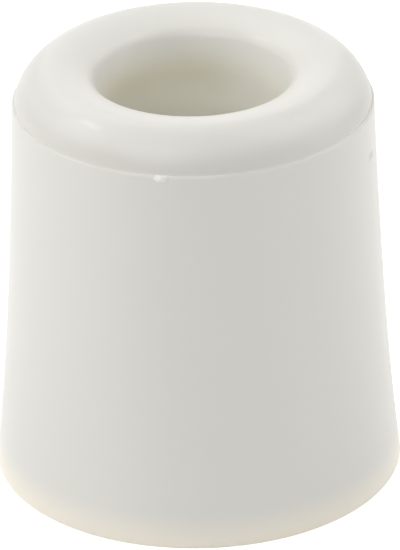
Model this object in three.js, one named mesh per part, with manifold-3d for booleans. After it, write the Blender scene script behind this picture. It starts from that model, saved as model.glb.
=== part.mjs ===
// Rubber door stop: one moulding, spun about +Z, standing on its wide foot.
// Millimetres, +Z up. The origin is the centre of the underside, and the front is -Y.

import * as THREE from 'three';
import { mergeVertices } from 'three/addons/utils/BufferGeometryUtils.js';
import Module from 'manifold-3d';

// Outside: foot, flared wall and crown
const footRadius = 16.5;
const footEdgeRadius = 0.2;
const stopHeight = 35.0;
const partingRadius = 14.45; // the wall's top edge, where the mould halves met
const wallDraftDeg = 2.0; // lean of the upper wall
const flareHeight = 11.0; // below this the wall flares out to the foot
const rimWidth = 0.15; // the wall's top edge is eased by this much inwards
const rimDepth = 0.25; // and by this much downwards
const rimFullness = 0.25; // 0 is a straight chamfer, and 0.55 a round
const ledgeWidth = 0.22; // the wall stands this far proud of the crown
const crownHeight = 3.05; // from the parting line up to the crest
const crownLeanDeg = 12.0; // lean of the crown's straight side
const crownSideLength = 0.3;
const crownSideReach = 1.2; // how far the side runs on before it rolls over
const crownTopReach = 1.26; // how far the top runs out before it rolls over
const crestRadius = 11.3; // the highest ring, where the crown ends and the lip starts

// Inside: lip, screw recess and screw hole
const lipRollRadius = 6.15; // the crest rolls in broadly
const lipSlopeDeg = 27.0; // down to this slope
const lipEdgeRadius = 1.4; // and then tightly
const funnelSlopeDeg = 70.0; // down to this slope
const funnelFoot = 1.5; // the funnel blends in to the recess wall over this height
const recessMouthRadius = 7.25; // where it meets the recess wall
const recessDraftDeg = 0.6;
const recessFloorHeight = 6.0;
const recessCornerRadius = 0.8;
const screwHoleRadius = 3.25;

// Left by the moulding and by use: azimuths count from the front, positive to the right
const nubAzimuthDeg = -10.3;
const nubDrop = 0.05; // its centre lies this far below the parting line
const nubInset = 0.04; // and this far inside the wall's face
const nubSize = new THREE.Vector3(1.1, 0.6, 0.54); // along the wall, outwards, up
const nickAzimuthDeg = 74.0;
const nickDrop = 3.55;
const nickSize = new THREE.Vector3(0.9, 0.34, 0.42);

// Fineness of the faces
const sectors = 72;
const wallSteps = 10;
const rimSteps = 3;
const crownSteps = 10;
const lipSteps = 4;
const funnelSteps = 5;
const cornerSteps = 4;
const dotSectors = 12;
const dotRings = 8;
const halvings = 40; // when looking for a height on the wall
const sameSpot = 1e-5; // points this close are one

const partingHeight = stopHeight - crownHeight;
const radians = THREE.MathUtils.degToRad;
const rise = (slopeDeg, run) => run * Math.tan(radians(slopeDeg));

// The upper wall leans in by its draft up to its rim, and flares out below the flare height.
function wallCurve() {
  const flareRadius = partingRadius + rise(wallDraftDeg, partingHeight - flareHeight);
  return new THREE.QuadraticBezierCurve(
    new THREE.Vector2(footRadius, footEdgeRadius),
    new THREE.Vector2(flareRadius, flareHeight),
    new THREE.Vector2(partingRadius, partingHeight - rimDepth)
  );
}

// The wall's radius at a height, found by halving the curve.
function wallRadius(height) {
  const curve = wallCurve();
  let low = 0;
  let high = 1;
  for (let halving = 0; halving < halvings; halving += 1) {
    const middle = (low + high) / 2;
    if (curve.getPoint(middle).y < height) {
      low = middle;
    } else {
      high = middle;
    }
  }
  return curve.getPoint(low).x;
}

// An arc in the half section, turning from one angle to the other.
function arc(centreX, centreY, radius, fromAngle, toAngle) {
  const clockwise = toAngle < fromAngle;
  return new THREE.EllipseCurve(centreX, centreY, radius, radius, fromAngle, toAngle, clockwise);
}

// The wall's top edge is eased towards the ledge.
function rimCurve() {
  const corner = new THREE.Vector2(partingRadius, partingHeight);
  const wallTop = new THREE.Vector2(partingRadius, partingHeight - rimDepth);
  const rimTop = new THREE.Vector2(partingRadius - rimWidth, partingHeight);
  const wallBend = wallTop.clone().lerp(corner, rimFullness);
  const topBend = rimTop.clone().lerp(corner, rimFullness);
  return new THREE.CubicBezierCurve(wallTop, wallBend, topBend, rimTop);
}

// The crown's side rises from the ledge with a lean, and rolls over to the crest.
function crownPoints() {
  const lean = radians(crownLeanDeg);
  const alongSide = new THREE.Vector2(-Math.sin(lean), Math.cos(lean));
  const ledge = new THREE.Vector2(partingRadius - ledgeWidth, partingHeight);
  const shoulder = ledge.clone().addScaledVector(alongSide, crownSideLength);
  const curve = new THREE.CubicBezierCurve(
    shoulder,
    shoulder.clone().addScaledVector(alongSide, crownSideReach),
    new THREE.Vector2(crestRadius + crownTopReach, stopHeight),
    new THREE.Vector2(crestRadius, stopHeight)
  );
  return [ledge, ...curve.getPoints(crownSteps)];
}

// The lip rolls in broadly, turns down at a tighter edge, and falls as a funnel to the recess.
function lipPoints() {
  const halfPi = Math.PI / 2;
  const rollEnd = halfPi + radians(lipSlopeDeg);
  const edgeEnd = halfPi + radians(funnelSlopeDeg);
  const rollY = stopHeight - lipRollRadius;
  const roll = arc(crestRadius, rollY, lipRollRadius, halfPi, rollEnd);
  const edgeX = crestRadius + (lipRollRadius - lipEdgeRadius) * Math.cos(rollEnd);
  const edgeY = rollY + (lipRollRadius - lipEdgeRadius) * Math.sin(rollEnd);
  const edge = arc(edgeX, edgeY, lipEdgeRadius, rollEnd, edgeEnd);
  const edgeFoot = edge.getPoint(1);
  const fall = rise(funnelSlopeDeg, edgeFoot.x - recessMouthRadius);
  const mouth = new THREE.Vector2(recessMouthRadius, edgeFoot.y - fall);
  const foot = new THREE.Vector2(recessMouthRadius, mouth.y - funnelFoot);
  const funnel = new THREE.QuadraticBezierCurve(edgeFoot, mouth, foot);
  return [
    ...roll.getPoints(lipSteps),
    ...edge.getPoints(lipSteps),
    ...funnel.getPoints(funnelSteps),
  ];
}

// The half section, all the way round: x is the distance from the axis, y the height.
function halfSection() {
  const halfPi = Math.PI / 2;
  const lip = lipPoints();
  const recessTop = lip.at(-1);
  const cornerTop = recessFloorHeight + recessCornerRadius;
  const recessRadius = recessTop.x - rise(recessDraftDeg, recessTop.y - cornerTop);
  const cornerCentre = recessRadius - recessCornerRadius;
  const footCentre = footRadius - footEdgeRadius;
  const footEdge = arc(footCentre, footEdgeRadius, footEdgeRadius, -halfPi, 0);
  const corner = arc(cornerCentre, cornerTop, recessCornerRadius, 0, -halfPi);
  const underside = new THREE.Vector2(screwHoleRadius, 0);
  const points = [
    underside,
    ...footEdge.getPoints(cornerSteps),
    ...wallCurve().getPoints(wallSteps),
    ...rimCurve().getPoints(rimSteps),
    ...crownPoints(),
    ...lip,
    ...corner.getPoints(cornerSteps),
    new THREE.Vector2(screwHoleRadius, recessFloorHeight),
    underside.clone(),
  ];
  const isNew = (point, index) => index === 0 || point.distanceTo(points[index - 1]) > sameSpot;
  return points.filter(isNew);
}

// The lathe spins about Y, so the body is stood up on +Z.
function spunBody() {
  return new THREE.LatheGeometry(halfSection(), sectors).rotateX(Math.PI / 2);
}

// A small ellipsoid lying along the wall, a drop below the parting line.
function dot(size, azimuthDeg, radius, drop) {
  return new THREE.SphereGeometry(1, dotSectors, dotRings)
    .scale(size.x / 2, size.y / 2, size.z / 2)
    .translate(0, -radius, partingHeight - drop)
    .rotateZ(radians(azimuthDeg));
}

// Solids to join and cut, and back to a geometry
const manifold = await Module();
manifold.setup();

function toSolid(geometry) {
  geometry.deleteAttribute('normal');
  geometry.deleteAttribute('uv');
  const merged = mergeVertices(geometry, sameSpot);
  const mesh = new manifold.Mesh({
    numProp: 3,
    vertProperties: new Float32Array(merged.attributes.position.array),
    triVerts: new Uint32Array(merged.index.array),
  });
  return new manifold.Manifold(mesh);
}

function toGeometry(solid) {
  const mesh = solid.getMesh();
  const geometry = new THREE.BufferGeometry();
  geometry.setAttribute('position', new THREE.BufferAttribute(mesh.vertProperties, 3));
  geometry.setIndex(new THREE.BufferAttribute(mesh.triVerts, 1));
  geometry.computeVertexNormals();
  return geometry;
}

function rubberBody() {
  const nub = toSolid(dot(nubSize, nubAzimuthDeg, partingRadius - nubInset, nubDrop));
  const nickRadius = wallRadius(partingHeight - nickDrop);
  const nick = toSolid(dot(nickSize, nickAzimuthDeg, nickRadius, nickDrop));
  const body = toSolid(spunBody()).add(nub).subtract(nick);
  const material = new THREE.MeshStandardMaterial({
    color: 0xe6e4dc,
    roughness: 0.5,
    metalness: 0.0,
  });
  const mesh = new THREE.Mesh(toGeometry(body), material);
  mesh.name = 'rubber_body';
  return mesh;
}

const doorStop = new THREE.Group();
doorStop.add(rubberBody());

export default doorStop;
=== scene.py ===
import math

import bpy
from mathutils import Matrix, Vector


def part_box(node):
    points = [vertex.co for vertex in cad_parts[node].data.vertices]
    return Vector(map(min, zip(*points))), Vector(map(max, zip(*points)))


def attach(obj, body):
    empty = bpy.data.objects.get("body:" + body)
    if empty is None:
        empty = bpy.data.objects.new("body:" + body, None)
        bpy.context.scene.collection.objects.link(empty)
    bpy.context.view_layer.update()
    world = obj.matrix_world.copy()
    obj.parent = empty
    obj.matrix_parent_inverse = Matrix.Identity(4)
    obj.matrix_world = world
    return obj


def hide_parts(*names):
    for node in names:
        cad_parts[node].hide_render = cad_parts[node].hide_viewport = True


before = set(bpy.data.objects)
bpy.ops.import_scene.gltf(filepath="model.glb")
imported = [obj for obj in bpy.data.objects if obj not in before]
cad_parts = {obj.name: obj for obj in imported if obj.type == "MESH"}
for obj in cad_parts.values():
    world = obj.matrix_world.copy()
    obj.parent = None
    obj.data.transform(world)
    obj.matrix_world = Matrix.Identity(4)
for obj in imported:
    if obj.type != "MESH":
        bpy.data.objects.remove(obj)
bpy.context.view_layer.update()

# Sizes in metres. The frame gives the height and the foot, and the rest is the moulding's section.
MM = 0.001
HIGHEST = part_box("rubber_body")[1]
FOOT_RADIUS = HIGHEST.x
STOP_HEIGHT = HIGHEST.z
FOOT_EDGE = 0.2 * MM
PARTING_RADIUS = 14.45 * MM
WALL_DRAFT = math.radians(2.0)
FLARE_HEIGHT = 11.0 * MM
RIM_WIDTH = 0.15 * MM
RIM_DEPTH = 0.25 * MM
RIM_FULLNESS = 0.25
LEDGE_WIDTH = 0.22 * MM
CROWN_HEIGHT = 3.05 * MM
CROWN_LEAN = math.radians(12.0)
CROWN_SIDE = 0.3 * MM
CROWN_SIDE_REACH = 1.2 * MM
CROWN_TOP_REACH = 1.26 * MM
CREST_RADIUS = 11.3 * MM
LIP_ROLL = 6.15 * MM
LIP_SLOPE = 27.0  # in degrees, as arc() takes its angles
LIP_EDGE = 1.4 * MM
FUNNEL_SLOPE = 70.0  # in degrees too
FUNNEL_FOOT = 1.5 * MM
MOUTH_RADIUS = 7.25 * MM
RECESS_DRAFT = math.radians(0.6)
RECESS_FLOOR = 6.0 * MM
RECESS_CORNER = 0.8 * MM
HOLE_RADIUS = 3.25 * MM
PARTING_HEIGHT = STOP_HEIGHT - CROWN_HEIGHT
SAME_SPOT = 0.0005 * MM

# Marks left by the moulding and by use. Azimuths count from the front, positive to the right.
GATE_AZIMUTH = math.radians(-10.5)
GATE_DROP = 0.18 * MM
GATE_INSET = 0.04 * MM
GATE_LOBE_GAP = math.radians(2.15)
GATE_LOBE_RADIUS = 0.31 * MM
GATE_PROUD = 0.22 * MM
GATE_RISE = 0.07 * MM
NICK_AZIMUTH = math.radians(74.0)
NICK_DROP = 3.55 * MM
NICK_LENGTH = 0.5 * MM
NICK_RADIUS = 0.42 * MM
NICK_DEPTH = 0.17 * MM

# Fineness of the spun mesh, which is finer round the two marks
COARSE_TURN = math.radians(1.25)
FINE_TURN = math.radians(0.2)
FINE_ARC = math.radians(4.0)
WALL_STEPS = 40
FINE_PER_STEP = 16
FINE_BAND = 0.6 * MM
RIM_STEPS = 8
SIDE_STEPS = 6
CROWN_STEPS = 40
LIP_STEPS = 16
FUNNEL_STEPS = 20
RECESS_STEPS = 16
EDGE_STEPS = 5
SMOOTH_ANGLE = math.radians(40.0)

# The camera was fitted to the outline in the photograph, whose frame is 400 by 550.
IMAGE_WIDTH = 400
IMAGE_HEIGHT = 550
SENSOR = 36.0
FOCAL_PIXELS = 5937.0
CAMERA_DISTANCE = 480.0 * MM
CAMERA_ELEVATION = math.radians(27.2)
CAMERA_ROLL = math.radians(-0.964)
TARGET = Vector((0.0, 0.0, 15.0 * MM))
TARGET_PIXEL = (196.27, 286.75)
CLIP_START = 10.0 * MM


def colour(red, green, blue):
    return (red, green, blue, 1.0)


# The rubber's colours, with painted shade and light among them. Depths count from the crest down,
# and sides from the left of the recess.
CREAM = colour(0.80, 0.785, 0.735)
CLOUD = colour(0.78, 0.775, 0.73)
CLOUD_SHARE = 0.3
CLOUD_SCALE = 110.0
CREST_BLEND = 1.0 * MM
# Painted shade and bounce light in the recess: tan, strongest on its shaded left, less where the
# lamps light its right side, and lighter and warmer deep down
RECESS_SHADE_TAN = colour(0.77, 0.73, 0.585)
RECESS_SHADE_DEPTHS = (LIP_EDGE, 4.5 * MM)
SHADED_SIDE_CENTRE = -2.5 * MM
LIT_SIDE_RAMP = (2.5 * MM, 8.0 * MM)
LIT_SIDE_LOSS = 0.7
DEEP_BOUNCE_TAN = colour(0.86, 0.835, 0.73)
DEEP_BOUNCE_DEPTHS = (3.9 * MM, 6.8 * MM)
# Painted shade: grey in the crease just over the parting line
SEAM_SHADE_GREY = colour(0.74, 0.72, 0.67)
SEAM_SHADE_FADE = (0.8 * MM, 2.1 * MM)
# Painted light: lighter and warmer along the foot, where light bounces up from the floor
FOOT_BOUNCE_LIGHT = colour(0.97, 0.905, 0.785)
FOOT_BOUNCE_FADE = 3.2 * MM
# Painted light: the torn gate's lobes are paler, which lifts the shade on their undersides
GATE_PAINTED_LIGHT = colour(0.95, 0.94, 0.90)
GATE_LIGHT_REACH = (0.28 * MM, 0.4 * MM)

# The rubber's skin and grain
ROUGHNESS = 0.45
ROUGHNESS_SWING = 0.1
SHINE = 0.35
SKIN = 0.07
SKIN_ROUGHNESS = 0.16
SKIN_IOR = 2.0
GRAIN_SCALE = 1400.0
GRAIN_STRENGTH = 0.1
GRAIN_DEPTH = 0.02 * MM

# Light. Each lamp has its azimuth, its elevation, its size and its level.
BLACK = colour(0.0, 0.0, 0.0)
WHITE = colour(1.0, 1.0, 1.0)
LAMP_DISTANCE = 600.0 * MM
SOFTBOX = (350.0 * MM, 350.0 * MM)
STRIP = (130.0 * MM, 60.0 * MM)
LAMPS = (
    (-30.0, 40.0, SOFTBOX, 0.66),
    (0.0, 35.0, SOFTBOX, 0.18),
    (-103.0, 51.0, STRIP, 4.4),
    (-90.0, 30.0, SOFTBOX, 0.56),
    (-150.0, 50.0, SOFTBOX, 0.45),
    (90.0, 50.0, SOFTBOX, 0.60),
    (90.0, 8.0, SOFTBOX, 0.28),
    (120.0, 30.0, SOFTBOX, 0.42),
    (180.0, 8.0, SOFTBOX, 0.18),
)
FLOOR_SIZE = 4.0
FLOOR_GREY = colour(0.9, 0.9, 0.9)
FLOOR_GLOW = 0.8
TENT_LIGHT = 0.108


class Wire:
    """A node's output, on which Python's arithmetic adds Math nodes."""

    def __init__(self, nodes, socket):
        self.nodes = nodes
        self.socket = socket

    def math(self, operation, *values):
        inputs = dict(enumerate((self, *values)))
        return self.nodes.add("ShaderNodeMath", {"operation": operation}, inputs)

    def __add__(self, other):
        return self.math("ADD", other)

    def __sub__(self, other):
        return self.math("SUBTRACT", other)

    def __mul__(self, other):
        return self.math("MULTIPLY", other)

    def __pow__(self, other):
        return self.math("POWER", other)

    def __rsub__(self, other):
        return self.nodes.add("ShaderNodeMath", {"operation": "SUBTRACT"}, {0: other, 1: self})

    __radd__ = __add__


class Nodes:
    """Adds nodes to one material or world."""

    def __init__(self, owner):
        owner.use_nodes = True
        self.tree = owner.node_tree

    def __getitem__(self, name):
        return self.tree.nodes[name]

    def feed(self, socket, value):
        if isinstance(value, Wire):
            self.tree.links.new(value.socket, socket)
        else:
            socket.default_value = value

    def add(self, kind, settings=None, inputs=None, output=0):
        """One node: its settings first, then its sockets' values or links. Returns one output."""
        node = self.tree.nodes.new(kind)
        for name, value in (settings or {}).items():
            setattr(node, name, value)
        for name, value in (inputs or {}).items():
            self.feed(node.inputs[name], value)
        return Wire(self, node.outputs[output])

    def parts(self, kind, inputs):
        """One node, and all its outputs."""
        node = self.add(kind, inputs=inputs).socket.node
        return [Wire(self, output) for output in node.outputs]

    def blend(self, factor, first, second):
        """A mix of two colours. Factor 1 is all the second."""
        colours = {"Factor": factor, 6: first, 7: second}
        return self.add("ShaderNodeMix", {"data_type": "RGBA"}, colours, 2)

    def ramp(self, value, start, end):
        """Runs smoothly from 0 to 1 as the value goes from start to end."""
        settings = {"interpolation_type": "SMOOTHSTEP", "clamp": True}
        inputs = {"Value": value, "From Min": start, "From Max": end}
        return self.add("ShaderNodeMapRange", settings, inputs)

    def fade_down(self, height, depths):
        """Runs smoothly from 0 to 1 as the height goes from the first depth to the second."""
        return 1 - self.ramp(height, STOP_HEIGHT - depths[1], STOP_HEIGHT - depths[0])

    def noise(self, place, scale):
        inputs = {"Vector": place, "Scale": scale, "Detail": 2.0, "Roughness": 0.5}
        return self.add("ShaderNodeTexNoise", {"normalize": True}, inputs)


def make_camera():
    """A long lens from the front and above, aimed so that the target falls on its pixel."""
    back = Vector((0.0, -math.cos(CAMERA_ELEVATION), math.sin(CAMERA_ELEVATION)))
    level = Vector((1.0, 0.0, 0.0))
    upright = back.cross(level)
    right = level * math.cos(CAMERA_ROLL) + upright * math.sin(CAMERA_ROLL)
    up = upright * math.cos(CAMERA_ROLL) - level * math.sin(CAMERA_ROLL)
    pixel = CAMERA_DISTANCE / FOCAL_PIXELS
    aside = (IMAGE_WIDTH / 2 - TARGET_PIXEL[0]) * pixel
    above = (TARGET_PIXEL[1] - IMAGE_HEIGHT / 2) * pixel
    place = TARGET + back * CAMERA_DISTANCE
    view = (TARGET + right * aside + up * above - place).normalized()
    side = (right - view * right.dot(view)).normalized()
    over = side.cross(view)
    bpy.ops.object.camera_add(location=place)
    camera = bpy.context.object
    camera.rotation_euler = Matrix((side, over, -view)).transposed().to_euler()
    camera.data.sensor_width = SENSOR
    camera.data.lens = FOCAL_PIXELS * SENSOR / IMAGE_HEIGHT
    camera.data.clip_start = CLIP_START
    bpy.context.scene.camera = camera


def bezier(controls, steps):
    """Points along a Bezier curve of any degree, with both its ends."""
    points = []
    for step in range(steps + 1):
        row = [Vector(control) for control in controls]
        while len(row) > 1:
            row = [a.lerp(b, step / steps) for a, b in zip(row, row[1:])]
        points.append(row[0])
    return points


def arc(centre, radii, start, end, steps):
    """Points along an arc of an ellipse, from one angle to another in degrees."""
    points = []
    for step in range(steps + 1):
        angle = math.radians(start + (end - start) * step / steps)
        offset = (radii[0] * math.cos(angle), radii[1] * math.sin(angle))
        points.append(Vector(centre) + Vector(offset))
    return points


def beside_a_mark(height):
    marks = (PARTING_HEIGHT - GATE_DROP, PARTING_HEIGHT - NICK_DROP)
    return any(abs(height - mark) < FINE_BAND for mark in marks)


def outside_wall():
    """The flared wall, from the foot's edge up to the rim that it keeps round the crown."""
    flare_radius = PARTING_RADIUS + (PARTING_HEIGHT - FLARE_HEIGHT) * math.tan(WALL_DRAFT)
    rim_corner = Vector((PARTING_RADIUS, PARTING_HEIGHT))
    wall_top = rim_corner - Vector((0.0, RIM_DEPTH))
    rim_top = rim_corner - Vector((RIM_WIDTH, 0.0))
    controls = [(FOOT_RADIUS, FOOT_EDGE), (flare_radius, FLARE_HEIGHT), wall_top]
    wall = [
        point
        for step, point in enumerate(bezier(controls, WALL_STEPS * FINE_PER_STEP))
        if step % FINE_PER_STEP == 0 or beside_a_mark(point.y)
    ]
    foot_centre = (FOOT_RADIUS - FOOT_EDGE, FOOT_EDGE)
    foot = arc(foot_centre, (FOOT_EDGE, FOOT_EDGE), -90, 0, EDGE_STEPS)
    rim_bends = [end.lerp(rim_corner, RIM_FULLNESS) for end in (wall_top, rim_top)]
    rim = bezier([wall_top, *rim_bends, rim_top], RIM_STEPS)
    return foot + wall + rim


def crown():
    """The crown, from the ledge up its steep side and over its shoulder to the crest."""
    upward = Vector((-math.sin(CROWN_LEAN), math.cos(CROWN_LEAN)))
    bottom = Vector((PARTING_RADIUS - LEDGE_WIDTH, PARTING_HEIGHT))
    shoulder = bottom + upward * CROWN_SIDE
    bend = shoulder + upward * CROWN_SIDE_REACH
    top = Vector((CREST_RADIUS + CROWN_TOP_REACH, STOP_HEIGHT))
    side = bezier([bottom, shoulder], SIDE_STEPS)
    return side + bezier([shoulder, bend, top, (CREST_RADIUS, STOP_HEIGHT)], CROWN_STEPS)


def lip():
    """The crest's broad roll inwards, the tighter edge after it, and the funnel under that."""
    roll_centre = Vector((CREST_RADIUS, STOP_HEIGHT - LIP_ROLL))
    roll = arc(roll_centre, (LIP_ROLL, LIP_ROLL), 90, 90 + LIP_SLOPE, LIP_STEPS)
    edge_centre = roll[-1].lerp(roll_centre, LIP_EDGE / LIP_ROLL)
    edge_angles = (90 + LIP_SLOPE, 90 + FUNNEL_SLOPE)
    edge = arc(edge_centre, (LIP_EDGE, LIP_EDGE), *edge_angles, LIP_STEPS)
    fall = (edge[-1].x - MOUTH_RADIUS) * math.tan(math.radians(FUNNEL_SLOPE))
    mouth = Vector((MOUTH_RADIUS, edge[-1].y - fall))
    foot = mouth - Vector((0.0, FUNNEL_FOOT))
    return roll + edge + bezier([edge[-1], mouth, foot], FUNNEL_STEPS)


def recess(top):
    """The recess from its top down, its floor and the screw hole."""
    corner_top = RECESS_FLOOR + RECESS_CORNER
    recess_radius = top.x - (top.y - corner_top) * math.tan(RECESS_DRAFT)
    corner_centre = (recess_radius - RECESS_CORNER, corner_top)
    wall = bezier([top, (recess_radius, corner_top)], RECESS_STEPS)
    corner = arc(corner_centre, (RECESS_CORNER, RECESS_CORNER), 0, -90, EDGE_STEPS)
    return wall + corner + [Vector((HOLE_RADIUS, RECESS_FLOOR))]


def half_section():
    """The half section as (radius, height) points, closed on the underside of the hole."""
    underside = Vector((HOLE_RADIUS, 0.0))
    down_to_recess = outside_wall() + crown() + lip()
    points = [underside]
    for point in down_to_recess + recess(down_to_recess[-1]) + [underside]:
        if (point - points[-1]).length > SAME_SPOT:
            points.append(point)
    return points


def select_only(obj):
    bpy.ops.object.select_all(action="DESELECT")
    obj.select_set(True)
    bpy.context.view_layer.objects.active = obj


def spin_stretches():
    """The stretches of a full turn from the right-hand side, finer round the marks."""
    stretches = []
    done = 0.0
    for azimuth in (GATE_AZIMUTH, NICK_AZIMUTH):
        mark = (azimuth - math.pi / 2) % math.tau
        stretches.append((done, mark - FINE_ARC, COARSE_TURN))
        stretches.append((mark - FINE_ARC, mark + FINE_ARC, FINE_TURN))
        done = mark + FINE_ARC
    return stretches + [(done, math.tau, COARSE_TURN)]


def spin_moulding(section):
    """One point is run along the half section, and the line is spun into the body."""
    bpy.ops.object.select_all(action="DESELECT")
    bpy.ops.mesh.primitive_plane_add(size=HOLE_RADIUS)
    body = bpy.context.object
    body.name = "moulding"
    bpy.ops.object.mode_set(mode="EDIT")
    bpy.ops.mesh.merge(type="CENTER")
    bpy.ops.transform.translate(value=(section[0].x, 0.0, section[0].y))
    for last, point in zip(section, section[1:]):
        run = (point.x - last.x, 0.0, point.y - last.y)
        bpy.ops.mesh.extrude_region_move(TRANSFORM_OT_translate={"value": run})
    bpy.ops.mesh.select_all(action="SELECT")
    for start, end, turn in spin_stretches():
        steps = math.ceil((end - start) / turn)
        bpy.ops.mesh.spin(steps=steps, angle=end - start, center=(0, 0, 0), axis=(0, 0, 1))
    bpy.ops.mesh.select_all(action="SELECT")
    bpy.ops.mesh.remove_doubles(threshold=SAME_SPOT)
    bpy.ops.mesh.normals_make_consistent(inside=False)
    bpy.ops.object.mode_set(mode="OBJECT")
    return body


def outward(azimuth):
    return Vector((math.sin(azimuth), -math.cos(azimuth), 0.0))


def pull(body, azimuth, radius, height, move, reach, falloff="SMOOTH"):
    """Moves the surface's nearest point outwards and up, and with it what lies within reach."""
    select_only(body)
    side = outward(azimuth)
    bpy.ops.object.mode_set(mode="EDIT")
    bpy.ops.mesh.select_all(action="DESELECT")
    bpy.ops.object.mode_set(mode="OBJECT")
    place = side * radius + Vector((0.0, 0.0, height))
    nearest = min(body.data.vertices, key=lambda vertex: (vertex.co - place).length_squared)
    nearest.select = True
    bpy.ops.object.mode_set(mode="EDIT")
    bpy.ops.transform.translate(
        value=side * move[0] + Vector((0.0, 0.0, move[1])),
        use_proportional_edit=True,
        proportional_edit_falloff=falloff,
        proportional_size=reach,
    )
    bpy.ops.object.mode_set(mode="OBJECT")


def gate_azimuths():
    return [GATE_AZIMUTH + GATE_LOBE_GAP * side for side in (-0.5, 0.5)]


def mark_moulding(body):
    """The torn gate's two lobes on the parting line, and a nick in the wall."""
    gate_radius = PARTING_RADIUS - GATE_INSET
    gate_height = PARTING_HEIGHT - GATE_DROP
    gate_move = (GATE_PROUD, GATE_RISE)
    for azimuth in gate_azimuths():
        pull(body, azimuth, gate_radius, gate_height, gate_move, GATE_LOBE_RADIUS, "SPHERE")
    nick_height = PARTING_HEIGHT - NICK_DROP
    nick_radius = PARTING_RADIUS + NICK_DROP * math.tan(WALL_DRAFT)
    for along in (-0.5, 0.0, 0.5):
        azimuth = NICK_AZIMUTH + NICK_LENGTH * along / PARTING_RADIUS
        pull(body, azimuth, nick_radius, nick_height, (-NICK_DEPTH, 0.0), NICK_RADIUS)


def gate_painted_light(nodes, place, tint):
    """Painted light: the torn gate's lobes are made paler, which lifts the shade on their
    undersides.
    """
    for azimuth in gate_azimuths():
        lobe = outward(azimuth) * (PARTING_RADIUS + GATE_PROUD - GATE_INSET)
        lobe.z = PARTING_HEIGHT - GATE_DROP + GATE_RISE
        ends = {0: place, 1: lobe}
        away = nodes.add("ShaderNodeVectorMath", {"operation": "DISTANCE"}, ends, "Value")
        tint = nodes.blend(1 - nodes.ramp(away, *GATE_LIGHT_REACH), tint, GATE_PAINTED_LIGHT)
    return tint


def rubber_tint_and_painted_light(nodes, place):
    """Cream, with a tan of painted shade and bounce light in the recess, a grey of painted shade
    over the parting line and painted floor light along the foot.
    """
    x, y, height = nodes.parts("ShaderNodeSeparateXYZ", {0: place})
    radius = (x * x + y * y) ** 0.5
    inside = 1 - nodes.ramp(radius, CREST_RADIUS - CREST_BLEND, CREST_RADIUS)
    outside = 1 - inside
    # Painted shade: the recess's tan is strongest on its shaded left and weaker to the right,
    # where the lamps light it
    lit_side = nodes.ramp((x - SHADED_SIDE_CENTRE).math("ABSOLUTE"), *LIT_SIDE_RAMP) * LIT_SIDE_LOSS
    recess_shade_share = inside * nodes.fade_down(height, RECESS_SHADE_DEPTHS) * (1 - lit_side)
    # Painted bounce light: lighter and warmer deep in the recess
    tan = nodes.blend(nodes.fade_down(height, DEEP_BOUNCE_DEPTHS), RECESS_SHADE_TAN, DEEP_BOUNCE_TAN)
    tint = nodes.blend(recess_shade_share, CREAM, tan)
    # Painted shade: grey in the crease just over the parting line
    over_seam = height - PARTING_HEIGHT
    seam_shade = nodes.ramp(over_seam, 0.0, LEDGE_WIDTH) * (1 - nodes.ramp(over_seam, *SEAM_SHADE_FADE))
    tint = nodes.blend(seam_shade * outside, tint, SEAM_SHADE_GREY)
    # Painted light: lighter and warmer along the foot, where light bounces up from the floor
    foot_bounce = 1 - nodes.ramp(height, FOOT_EDGE, FOOT_BOUNCE_FADE)
    tint = nodes.blend(foot_bounce * outside, tint, FOOT_BOUNCE_LIGHT)
    return gate_painted_light(nodes, place, tint)


def white_rubber():
    """Creamy white rubber with a faint clouding, a fine grain and a thin glossy skin."""
    material = bpy.data.materials.new("white_rubber")
    nodes = Nodes(material)
    shader = nodes["Principled BSDF"]
    place = nodes.add("ShaderNodeTexCoord", output="Object")
    cloud = nodes.noise(place, CLOUD_SCALE)
    tint = nodes.blend(cloud * CLOUD_SHARE, rubber_tint_and_painted_light(nodes, place), CLOUD)
    nodes.feed(shader.inputs["Base Color"], tint)
    swing = (cloud - 0.5) * ROUGHNESS_SWING
    nodes.feed(shader.inputs["Roughness"], ROUGHNESS + swing)
    shader.inputs["Specular IOR Level"].default_value = SHINE
    shader.inputs["Coat Weight"].default_value = SKIN
    shader.inputs["Coat Roughness"].default_value = SKIN_ROUGHNESS
    shader.inputs["Coat IOR"].default_value = SKIN_IOR
    grain = nodes.noise(place, GRAIN_SCALE)
    bump = {"Strength": GRAIN_STRENGTH, "Distance": GRAIN_DEPTH, "Height": grain}
    nodes.feed(shader.inputs["Normal"], nodes.add("ShaderNodeBump", inputs=bump))
    return material


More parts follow.
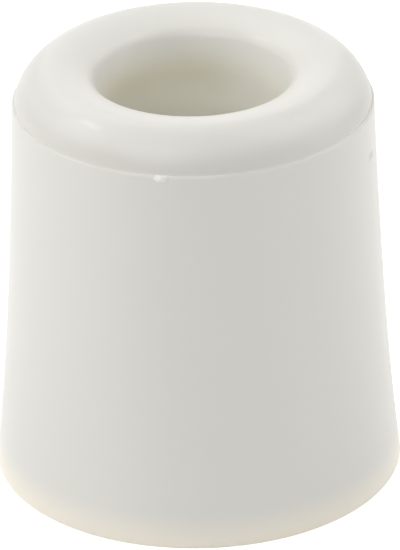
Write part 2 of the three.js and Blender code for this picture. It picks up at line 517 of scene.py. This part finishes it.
def seen_by_eye(nodes):
    """1 where the camera sees the place, straight, in a reflection or through something."""
    path = nodes.add("ShaderNodeLightPath")
    ways = ("Is Camera Ray", "Is Glossy Ray", "Is Transmission Ray")
    camera, glossy, through = (Wire(nodes, path.socket.node.outputs[way]) for way in ways)
    return camera.math("MAXIMUM", glossy).math("MAXIMUM", through)


def make_floor():
    """A pale floor that looks white and still keeps the shadow."""
    bpy.ops.object.select_all(action="DESELECT")
    bpy.ops.mesh.primitive_plane_add(size=FLOOR_SIZE)
    floor = bpy.context.object
    floor.name = "floor"
    material = bpy.data.materials.new("floor")
    nodes = Nodes(material)
    shader = nodes["Principled BSDF"]
    shader.inputs["Base Color"].default_value = FLOOR_GREY
    shader.inputs["Roughness"].default_value = 1.0
    shader.inputs["Specular IOR Level"].default_value = 0.0
    glow = nodes.blend(seen_by_eye(nodes), BLACK, WHITE)
    nodes.feed(shader.inputs["Emission Color"], glow)
    shader.inputs["Emission Strength"].default_value = FLOOR_GLOW
    floor.data.materials.append(material)


def make_world():
    world = bpy.data.worlds.new("tent")
    bpy.context.scene.world = world
    nodes = Nodes(world)
    strength = seen_by_eye(nodes) * (1 - TENT_LIGHT) + TENT_LIGHT
    nodes.feed(nodes["Background"].inputs["Color"], WHITE)
    nodes.feed(nodes["Background"].inputs["Strength"], strength)


def add_lamp(azimuth, elevation, size, level):
    """A rectangular lamp that faces the stop. Level 1 is the radiance of white."""
    facing = outward(math.radians(azimuth)) * math.cos(math.radians(elevation))
    facing.z = math.sin(math.radians(elevation))
    place = Vector((0.0, 0.0, STOP_HEIGHT / 2)) + facing * LAMP_DISTANCE
    bpy.ops.object.light_add(type="AREA", location=place)
    lamp = bpy.context.object
    lamp.rotation_euler = facing.to_track_quat("Z", "Y").to_euler()
    lamp.data.shape = "RECTANGLE"
    lamp.data.size, lamp.data.size_y = size
    lamp.data.energy = 4 * math.pi * size[0] * size[1] * level


make_camera()
moulding = spin_moulding(half_section())
mark_moulding(moulding)
select_only(moulding)
bpy.ops.object.shade_smooth_by_angle(angle=SMOOTH_ANGLE)
moulding.data.materials.append(white_rubber())
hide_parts("rubber_body")
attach(moulding, "root")
make_floor()
make_world()
for lamp in LAMPS:
    add_lamp(*lamp)
bpy.context.scene.view_settings.view_transform = "Standard"
